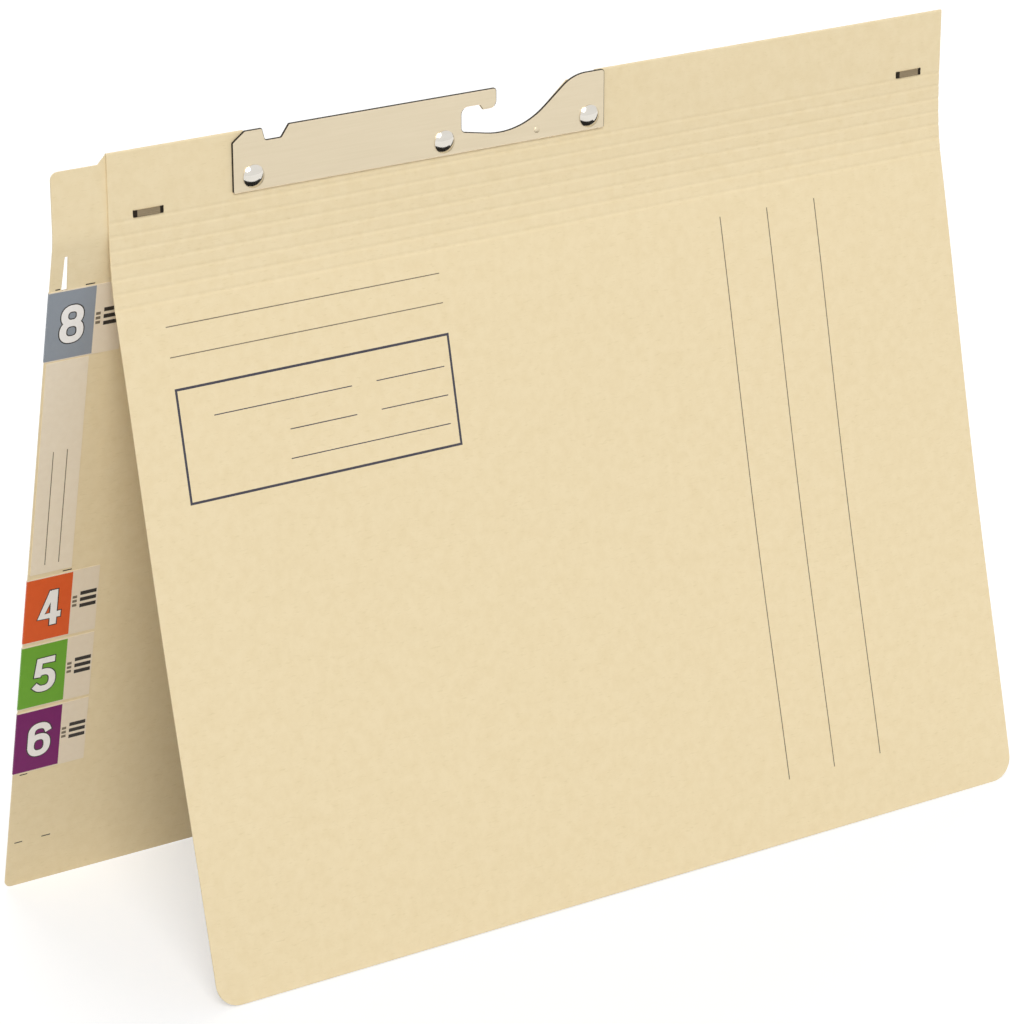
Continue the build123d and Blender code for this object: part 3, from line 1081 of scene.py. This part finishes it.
@dataclass
class Header:
    """Closed top of the folder: folded card, hanger plate, rivets and staples."""

    rear: RearCover
    plate_edge_mm: float = 0.26
    # A face of the plate is flat if its normal points this far along Y, and a lower edge, with a painted
    # highlight, if this far down; the other edges get a dark colour that is partly painted shade.
    flat_face: float = 0.95
    lower_edge: float = -0.3
    pip_place_mm: tuple[float, float] = (111.0, 16.3)
    pip_size_mm: tuple[float, float] = (2.0, 0.25)
    pip_steps: tuple[int, int] = (24, 12)
    dome_mm: float = 1.4
    head_rim_mm: float = 0.3
    shank_mm: float = 3.2
    tail_mm: float = 5.4
    tail_height_mm: float = 0.7
    dome_steps: int = 14
    turn_steps: int = 64
    wire_edge_mm: float = 0.08
    # Length of the painted shade at each end of a staple.
    staple_shade_mm: float = 1.3

    def build(self) -> None:
        """Dress the folded card and build the metal pieces on it."""
        self.card()
        self.plate()
        for place in ("left", "middle", "right"):
            self.rivet(f"rivet_{place}")
        for place in ("left", "right"):
            self.staple(f"staple_{place}")

    def card(self) -> None:
        """Folded card, trimmed where the first front crease and the rear crease take over."""
        bm = node_copy("folded_header")
        for side, score in ((Side.FRONT, "front_score_1"), (Side.REAR, "rear_score")):
            axis = score_axis(score)
            foot = axis.z + CARD.crease_reach_mm * MM
            layer = [vert for vert in bm.verts if (vert.co.y - self.fold_middle) * side.value > 0]
            edges = {edge for vert in layer for edge in vert.link_edges}
            faces = {face for vert in layer for face in vert.link_faces}
            bmesh.ops.bisect_plane(
                bm,
                geom=layer + list(edges) + list(faces),
                dist=CUT_SNAP,
                plane_co=(0.0, 0.0, foot),
                plane_no=(0.0, 0.0, -1.0),
                clear_outer=True,
            )
            rim = [edge for edge in bm.edges if len(edge.link_faces) == 1]
            bmesh.ops.edgeloop_fill(bm, edges=rim)
        cut(bm, Axis.DOWN, [self.rear.sheet.axis.z / MM + row for row in self.rear.ease_rows])
        self.rear.ease([vert for vert in bm.verts if vert.co.y > self.fold_middle])
        piece = add_piece("folded_header_card", bm, [MANILA])
        seat(piece, "header", ["folded_header"])

    @property
    def fold_middle(self) -> float:
        """Place along Y between the two layers of the header."""
        low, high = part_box("folded_header")
        return (low.y + high.y) / 2

    def plate(self) -> None:
        """Stamped plate with rounded edges, dark on the edges that face up and sideways (partly bare steel, partly
        painted shade), a painted highlight on the lower edges, and its pressed pip.
        """
        bm = node_copy("hanger_plate")
        soften(bm, sharp_edges(bm), self.plate_edge_mm, clamp=False)
        bm.normal_update()
        finishes = [PLATED_STEEL, SHEARED_AND_SHADED_STEEL, PAINTED_HIGHLIGHT_STEEL]
        # Edge faces are coloured by which way they face: downward ones get a painted highlight, the rest a dark
        # colour that is partly painted shade.
        for face in bm.faces:
            edge = SHEARED_AND_SHADED_STEEL if face.normal.z > self.lower_edge else PAINTED_HIGHLIGHT_STEEL
            finish = edge if abs(face.normal.y) < self.flat_face else PLATED_STEEL
            face.material_index = finishes.index(finish)
        piece = add_piece("hanger_plate_steel", bm, finishes)
        seat(piece, "header", ["hanger_plate"])
        self.pip()

    def pip(self) -> None:
        """Small round pip pressed into the plate."""
        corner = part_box("hanger_plate")[0]
        across, drop = (place * MM for place in self.pip_place_mm)
        width, height = (size * MM for size in self.pip_size_mm)
        place = Matrix.Translation((corner.x + across, corner.y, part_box("folded_header")[1].z - drop))
        size = Matrix.Diagonal((width / 2, height, width / 2, 1.0))
        around, over = self.pip_steps
        bm = bmesh.new()
        bmesh.ops.create_uvsphere(bm, u_segments=around, v_segments=over, radius=1.0, matrix=place @ size)
        piece = add_piece("hanger_plate_pip", bm, [PLATED_STEEL], PIP_CRISP_ANGLE)
        seat(piece, "header")

    def rivet(self, node: str) -> None:
        """Domed rivet turned round its axis.

        Args:
            node: CAD node that it stands for.
        """
        low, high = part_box(node)
        head = (high.x - low.x) / 2
        dome = self.dome_mm * MM
        # The dome is the cap of this ball.
        ball = (head * head + dome * dome) / (2 * dome)
        reach = math.asin(head / ball)
        outline = []
        for step in range(self.dome_steps + 1):
            angle = reach * step / self.dome_steps
            outline.append((ball * math.sin(angle), low.y + ball * (1 - math.cos(angle))))
        seat_y = low.y + dome + self.head_rim_mm * MM
        tail_y = high.y - self.tail_height_mm * MM
        shank, tail = self.shank_mm * MM / 2, self.tail_mm * MM / 2
        outline += [(head, seat_y), (shank, seat_y), (shank, tail_y), (tail, tail_y)]
        outline += [(shank, high.y), (0.0, high.y)]
        centre = Vector(((low.x + high.x) / 2, 0.0, (low.z + high.z) / 2))
        bm = bmesh.new()
        verts = [bm.verts.new(centre + Vector((r, y, 0.0))) for r, y in outline]
        edges = [bm.edges.new(pair) for pair in zip(verts, verts[1:])]
        bmesh.ops.spin(
            bm,
            geom=verts + edges,
            cent=centre,
            axis=(0.0, 1.0, 0.0),
            angle=2 * math.pi,
            steps=self.turn_steps,
            use_merge=True,
        )
        bmesh.ops.remove_doubles(bm, verts=bm.verts[:], dist=SAME_PLACE)
        piece = add_piece(f"{node}_nickel", bm, [NICKEL], TURNED_CRISP_ANGLE)
        seat(piece, "header", [node])

    def staple(self, node: str) -> None:
        """Flat-wire staple, with painted shade at both ends where the wire turns down into the card.

        Args:
            node: CAD node that it stands for.
        """
        low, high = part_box(node)
        bm = node_copy(node)
        dark = self.staple_shade_mm * MM
        left, right = low.x + dark, high.x - dark
        cut(bm, Axis.ACROSS, [left / MM, right / MM])
        soften(bm, sharp_edges(bm), self.wire_edge_mm)
        # The ends of the wire get painted shade; the crown keeps the wire's own colour.
        finishes = [STAPLE_WIRE, SHADED_WIRE_END]
        for face in bm.faces:
            crown = left < face.calc_center_median().x < right
            face.material_index = finishes.index(STAPLE_WIRE if crown else SHADED_WIRE_END)
        piece = add_piece(f"{node}_wire", bm, finishes)
        seat(piece, "header", [node])


@dataclass(frozen=True)
class Bend:
    """Bend of a numeral's stroke, in shares of the width and height that its middle line fills."""

    centre: tuple[float, float]
    radii: tuple[float, float]
    start_degrees: float = 0.0
    end_degrees: float = 360.0
    steps: int = 40
    fullness: float = 0.86

    def points(self) -> list[tuple[float, float]]:
        """Follow the bend, which is a little fuller than an ellipse.

        Returns:
            Points along it, in shares of the numeral's width and height.
        """
        made = []
        sweep = self.end_degrees - self.start_degrees
        for step in range(self.steps + 1):
            angle = math.radians(self.start_degrees + sweep * step / self.steps)
            turn = (math.cos(angle), math.sin(angle))
            x, y = (
                middle + radius * math.copysign(abs(share) ** self.fullness, share)
                for middle, radius, share in zip(self.centre, self.radii, turn)
            )
            made.append((x, y))
        return made


class Numeral(Enum):
    """Bold plain numerals as strokes: bends and corner points of their middle lines."""

    FOUR = (((0.76, 0.0), (0.76, 1.0)), ((1.0, 0.23), (0.02, 0.23), (0.58, 0.97)))
    FIVE = (((0.9, 1.0), (0.18, 1.0), (0.1, 0.54)), (Bend((0.47, 0.3), (0.53, 0.3), 112.0, -136.0),))
    SIX = ((Bend((0.5, 0.3), (0.5, 0.3)),), (Bend((0.5, 0.74), (0.5, 0.26), 22.0, 180.0), (0.0, 0.3)))
    EIGHT = ((Bend((0.5, 0.265), (0.5, 0.265)),), (Bend((0.5, 0.765), (0.45, 0.235)),))


@dataclass(frozen=True)
class NumeralStyle:
    """Size and weight of the numerals on the labels."""

    width_mm: float = 8.2
    height_mm: float = 13.4
    weight_mm: float = 2.35
    sharpest_join: float = 1.25
    stroke_film_mm: float = 0.006

    def path(self, stroke: Sequence[Bend | tuple[float, float]]) -> list[Vector]:
        """Middle line of a stroke.

        Args:
            stroke: Bends and corner points of the stroke.

        Returns:
            Points in millimetres, round the numeral's centre.
        """
        span = Vector((self.width_mm - self.weight_mm, self.height_mm - self.weight_mm))
        shares: list[tuple[float, float]] = []
        for place in stroke:
            shares += place.points() if isinstance(place, Bend) else [place]
        return [Vector(((x - 0.5) * span.x, (y - 0.5) * span.y, 0.0)) for x, y in shares]

    def across(self, before: Vector, place: Vector, after: Vector) -> Vector:
        """Direction across a stroke at a point of its middle line, longer where it turns.

        Args:
            before: The point before it.
            place: The point.
            after: The point after it.

        Returns:
            A direction, of length one where the stroke is straight.
        """
        up = Vector((0.0, 0.0, 1.0))
        one = (place - before).cross(up).normalized()
        other = (after - place).cross(up).normalized()
        length = min(1 / math.cos(one.angle(other) / 2), self.sharpest_join)
        return (one + other).normalized() * length

    def build(self, shape: Numeral, swell_mm: float) -> BMesh:
        """Numeral as flat bands that face +Z, each a little above the one before.

        Args:
            shape: Which numeral.
            swell_mm: How far its strokes grow on every side.

        Returns:
            A bmesh in metres.
        """
        half = self.weight_mm / 2 + swell_mm
        bm = bmesh.new()
        reach = bm.verts.layers.float_vector.new("across_stroke")
        for layer, stroke in enumerate(shape.value):
            path = self.path(stroke)
            closed = (path[0] - path[-1]).length < SAME_PLACE / MM
            if closed:
                ends = (path[-2], path[1])
            else:
                path[0] += (path[0] - path[1]).normalized() * half
                path[-1] += (path[-1] - path[-2]).normalized() * half
                ends = (path[0] * 2 - path[1], path[-1] * 2 - path[-2])
            verts = []
            for before, place, after in zip([ends[0], *path], path, [*path[1:], ends[1]]):
                side = self.across(before, place, after) * half
                lift = Vector((0.0, 0.0, layer * self.stroke_film_mm))
                vert = bm.verts.new((place + side + lift) * MM)
                vert[reach] = side * -2 * MM
                verts.append(vert)
            edges = [bm.edges.new(pair) for pair in zip(verts, verts[1:])]
            for piece in bmesh.ops.extrude_edge_only(bm, edges=edges)["geom"]:
                if isinstance(piece, BMVert):
                    piece.co += piece[reach]
        bm.normal_update()
        bmesh.ops.reverse_faces(bm, faces=[face for face in bm.faces if face.normal.z < 0])
        return bm


@dataclass(frozen=True)
class NumberLabel:
    """One number label: its CAD node, numeral, print and material slot."""

    node: str
    numeral: Numeral
    ink: LabelPrint
    slot: str


@dataclass
class IndexLabels:
    """Labels on the index tab: number labels folded round its edge and a name label.

    Each entry of bars is the left, right, height and pitch of one column of bars on a label, in millimetres.
    """

    rear: RearCover
    block_mm: float = 16.2
    block_inset_mm: float = 0.35
    numeral_centre_mm: float = 8.6
    style: NumeralStyle = NumeralStyle()
    outline_mm: float = 0.38
    bars: tuple[tuple[float, float, float, float], ...] = (
        (19.4, 25.2, 1.4, 2.4),
        (16.7, 18.3, 1.0, 1.6),
    )
    bar_count: int = 3
    rule_shares: tuple[float, float] = (0.42, 0.96)
    rule_mm: float = 0.3
    labels: tuple[NumberLabel, ...] = (
        NumberLabel("number_label_1", Numeral.EIGHT, LabelPrint.GREY, "label_grey"),
        NumberLabel("number_label_2", Numeral.FOUR, LabelPrint.ORANGE, "label_orange"),
        NumberLabel("number_label_3", Numeral.FIVE, LabelPrint.GREEN, "label_green"),
        NumberLabel("number_label_4", Numeral.SIX, LabelPrint.PURPLE, "label_purple"),
    )

    def build(self) -> None:
        """Build and seat the labels."""
        for label in self.labels:
            self.number_label(label)
        self.name_label()

    def span(self, node: str) -> tuple[Vector, Vector]:
        """Box of a label in the rear sheet's own axes.

        Args:
            node: CAD node of the label.

        Returns:
            Lowest and highest place across, out and down, in millimetres.
        """
        places = [self.rear.sheet.own(vert.co) / MM for vert in frame["nodes"][node].data.vertices]
        low = Vector([min(place[axis] for place in places) for axis in range(3)])
        high = Vector([max(place[axis] for place in places) for axis in range(3)])
        return low, high

    def number_label(self, label: NumberLabel) -> None:
        """Label with a solid colour round its fold, and a numeral and bars on both leaves.

        Args:
            label: Which label.
        """
        sheet = self.rear.sheet
        low, high = self.span(label.node)
        right = low.x + self.block_mm
        bm = node_copy(label.node)
        for vert in bm.verts:
            vert.co = sheet.own(vert.co)
        top, foot = low.z + self.block_inset_mm, high.z - self.block_inset_mm
        cut(bm, Axis.ACROSS, [right])
        cut(bm, Axis.DOWN, [top, foot])
        finishes = [LABEL_PAPER, label.ink.value]
        for face in bm.faces:
            middle = face.calc_center_median() / MM
            inked = middle.x < right and top < middle.z < foot
            face.material_index = finishes.index(label.ink.value if inked else LABEL_PAPER)
        piece = add_piece(f"{label.node}_paper", sheet.lay(bm), finishes)
        seat(piece, "rear_cover", [label.node])
        self.print_label(label, low, high)

    def print_label(self, label: NumberLabel, low: Vector, high: Vector) -> None:
        """Numeral, broad bars and a small column of marks on both leaves of a label.

        Args:
            label: Which label.
            low: Its lowest place in the sheet's own axes, in millimetres.
            high: Its highest place.
        """
        finishes = [BLACK_INK, WHITE_INK, RULE_INK]
        column_inks = (finishes.index(BLACK_INK), finishes.index(RULE_INK))
        whole = bmesh.new()
        middle = (low.z + high.z) / 2
        for face_mm, reading in ((low.y, 1), (high.y, -1)):
            for layer, outline in enumerate((self.outline_mm, 0.0)):
                bm = self.style.build(label.numeral, outline)
                height = face_mm - reading * (layer + 1) * FILM_MM
                centre = Vector((low.x + self.numeral_centre_mm, height, middle))
                # Stand the numeral up and let it face out of its leaf.
                turn = Matrix(((reading, 0, 0), (0, 0, reading), (0, -1, 0))).to_4x4()
                bmesh.ops.transform(bm, matrix=Matrix.Translation(centre * MM) @ turn, verts=bm.verts[:])
                paint(bm, layer)
                join(whole, bm)
            for ink, (left, right, height, pitch) in zip(column_inks, self.bars):
                for bar in range(self.bar_count):
                    top = middle + (bar - self.bar_count / 2) * pitch
                    place = (low.x + left, top, low.x + right, top + height)
                    join(whole, printed_bar(place, face_mm, ink))
        piece = add_piece(f"{label.node}_print", self.rear.sheet.lay(whole), finishes)
        seat(piece, "rear_cover")

    def name_label(self) -> None:
        """Blank name label with two ruled lines."""
        bm = node_copy("name_label")
        piece = add_piece("name_label_paper", bm, [NAME_PAPER])
        seat(piece, "rear_cover", ["name_label"])
        low, high = self.span("name_label")
        whole = bmesh.new()
        third = (high.x - low.x) / 3
        half = self.rule_mm / 2
        top, foot = (low.z + share * (high.z - low.z) for share in self.rule_shares)
        for across in (low.x + third, high.x - third):
            join(whole, printed_bar((across - half, top, across + half, foot), low.y))
        ruled = add_piece("name_label_rules", self.rear.sheet.lay(whole), [RULE_INK])
        seat(ruled, "rear_cover")


@dataclass
class FilingFastener:
    """Fastener inside the rear cover: backing strip, prongs, bar and lock slides.

    Each piece is its CAD node, body, material slot and finish.
    """

    edge_mm: float = 0.1
    pieces: tuple[tuple[str, str, str, Finish], ...] = (
        ("backing_strip", "rear_cover", "backing_card", BACKING),
        ("prong_strip", "rear_cover", "tinplate", TINPLATE),
        ("compressor_bar", "rear_cover", "tinplate", TINPLATE),
        ("lock_slide_left", "slide_left", "tinplate", TINPLATE),
        ("lock_slide_right", "slide_right", "tinplate", TINPLATE),
    )

    def build(self) -> None:
        """Build and seat the fastener's pieces with softened edges."""
        for node, body, slot, finish in self.pieces:
            bm = node_copy(node)
            soften(bm, sharp_edges(bm), self.edge_mm)
            seat(add_piece(f"{node}_finished", bm, [finish]), body, [node])


@dataclass(frozen=True)
class WhiteFloor(Finish):
    """Matt white studio floor, which the camera and gloss see a little brighter than it lights the folder."""

    colour: str = "#D6D6D6"
    cloud: str = "#D2D2D2"
    cloud_mm: float = 400.0
    roughness: float = 0.9
    lift: float = 0.45

    def shade(self, tree: ShaderNodeTree) -> Node:
        """Shade with white paint of a barely uneven tone, lifted where it is seen.

        Args:
            tree: Node tree of the material.

        Returns:
            The surface shader.
        """
        colour = self.mottle(tree, (self.colour, self.cloud), self.cloud_mm)
        lift = add_node(tree, "MapRange", {"To Max": self.lift}, {"Value": seen_rays(tree)})
        return add_node(
            tree,
            "BsdfPrincipled",
            {"Roughness": self.roughness, "Specular IOR Level": 0.0, "Emission Color": linear(WHITE)},
            {"Base Color": colour, "Emission Strength": lift.outputs[0]},
        )


@dataclass(frozen=True)
class BlackFlag(Finish):
    """Black studio felt that only mirrors the dark of the room."""

    colour: str = "#0C0B0A"
    nap: str = "#14120F"
    nap_mm: float = 2.0
    roughness: float = 1.0

    def shade(self, tree: ShaderNodeTree) -> Node:
        """Shade matt black with a slight nap."""
        colour = self.mottle(tree, (self.colour, self.nap), self.nap_mm)
        return add_node(tree, "BsdfPrincipled", {"Roughness": self.roughness}, {"Base Color": colour})


def seen_rays(tree: ShaderNodeTree) -> NodeSocket:
    """Tell rays that are seen from those that light other things.

    Args:
        tree: Node tree of the material or world.

    Returns:
        A socket that is one for rays from the camera and those that mirror or pass through, else zero.
    """
    path = add_node(tree, "LightPath").outputs
    gloss = add_node(
        tree, "Math", {"operation": "MAXIMUM"}, {0: path["Is Glossy Ray"], 1: path["Is Transmission Ray"]}
    )
    seen = add_node(
        tree, "Math", {"operation": "MAXIMUM"}, {0: path["Is Camera Ray"], 1: gloss.outputs[0]}
    )
    return seen.outputs[0]


@dataclass
class Studio:
    """White floor, soft light and the camera.

    Each flag is its left, front, right and back in the frame, in millimetres.
    """

    floor_size_mm: float = 30000.0
    floor_gap_mm: float = 0.3
    sky_strength: float = 0.41
    key_from: tuple[float, float, float] = (-0.34, -0.68, 0.65)
    key_strength: float = 1.93
    key_spread_degrees: float = 30.0
    fill_from: tuple[float, float, float] = (0.35, 0.75, 0.56)
    fill_strength: float = 1.1
    fill_spread_degrees: float = 50.0
    flags_mm: tuple[tuple[float, float, float, float], ...] = (
        (-520.0, -285.0, 330.0, -58.0),
        (300.0, -150.0, 1300.0, 600.0),
    )
    flag_height_mm: float = 1.0
    camera_place_mm: tuple[float, float, float] = (-683.4, -1051.4, 609.6)
    turn_degrees: float = 32.86
    tilt_degrees: float = 21.45
    lens_mm: float = 142.9
    sensor_mm: float = 36.0

    def build(self) -> None:
        """Set the stage."""
        self.floor()
        self.flags()
        self.sky()
        self.lamp("key_light", self.key_from, self.key_strength, self.key_spread_degrees)
        self.lamp("fill_light", self.fill_from, self.fill_strength, self.fill_spread_degrees)
        self.camera()
        bpy.context.scene.view_settings.view_transform = "Standard"

    def floor(self) -> None:
        """Wide floor just under the folder."""
        bm = bmesh.new()
        bmesh.ops.create_grid(bm, x_segments=1, y_segments=1, size=self.floor_size_mm * MM / 2)
        bmesh.ops.translate(bm, vec=(0.0, 0.0, -self.floor_gap_mm * MM), verts=bm.verts[:])
        add_piece("floor", bm, [WhiteFloor("floor_matt_white")])

    def flags(self) -> None:
        """Black flags that lie on the floor and are seen by gloss alone."""
        finish = BlackFlag("felt_black")
        for number, (left, front, right, back) in enumerate(self.flags_mm, start=1):
            bm = bmesh.new()
            middle = Vector(((left + right) / 2, (front + back) / 2, self.flag_height_mm))
            place = Matrix.Translation(middle * MM)
            size = Matrix.Diagonal(((right - left) * MM, (back - front) * MM, 1.0, 1.0))
            bmesh.ops.create_grid(bm, x_segments=1, y_segments=1, size=0.5, matrix=place @ size)
            flag = add_piece(f"flag_{number}", bm, [finish])
            flag.visible_camera = False
            flag.visible_diffuse = False
            flag.visible_shadow = False
            flag.visible_transmission = False

    def sky(self) -> None:
        """Even white surroundings, which the camera and gloss see as pure white."""
        world = bpy.data.worlds.new("white_surroundings")
        bpy.context.scene.world = world
        world.use_nodes = True
        tree = world.node_tree
        tree.nodes.clear()
        strength = add_node(
            tree, "MapRange", {"To Min": self.sky_strength, "To Max": 1.0}, {"Value": seen_rays(tree)}
        )
        background = add_node(
            tree, "Background", {"Color": linear(WHITE)}, {"Strength": strength.outputs[0]}
        )
        add_node(tree, "OutputWorld", None, {"Surface": background.outputs[0]})

    def lamp(self, name: str, come_from: tuple[float, float, float], strength: float, spread: float) -> None:
        """Broad soft light from one side.

        Args:
            name: Name of the lamp.
            come_from: Direction that its light comes from.
            strength: Its strength.
            spread: Angle that it fills, in degrees.
        """
        lamp = bpy.data.lights.new(name, "SUN")
        lamp.energy = strength
        lamp.angle = math.radians(spread)
        holder = bpy.data.objects.new(name, lamp)
        holder.rotation_euler = (-Vector(come_from)).to_track_quat("-Z", "Y").to_euler()
        bpy.context.scene.collection.objects.link(holder)

    def camera(self) -> None:
        """Camera at the photograph's angle."""
        data = bpy.data.cameras.new("camera")
        data.lens = self.lens_mm
        data.sensor_width = self.sensor_mm
        holder = bpy.data.objects.new("camera", data)
        turn, tilt = math.radians(self.turn_degrees), math.radians(self.tilt_degrees)
        aim = Vector((math.sin(turn) * math.cos(tilt), math.cos(turn) * math.cos(tilt), -math.sin(tilt)))
        holder.location = Vector(self.camera_place_mm) * MM
        holder.rotation_euler = aim.to_track_quat("-Z", "Y").to_euler()
        bpy.context.scene.collection.objects.link(holder)
        bpy.context.scene.camera = holder


def main() -> None:
    """Build every sub-assembly round the frame and set the stage."""
    logging.basicConfig(level=logging.INFO, format="%(name)s: %(message)s")
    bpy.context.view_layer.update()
    rear = RearCover()
    Header(rear).build()
    FrontCover().build()
    rear.build()
    IndexLabels(rear).build()
    FilingFastener().build()
    Studio().build()


if __name__ == "__main__":
    main()
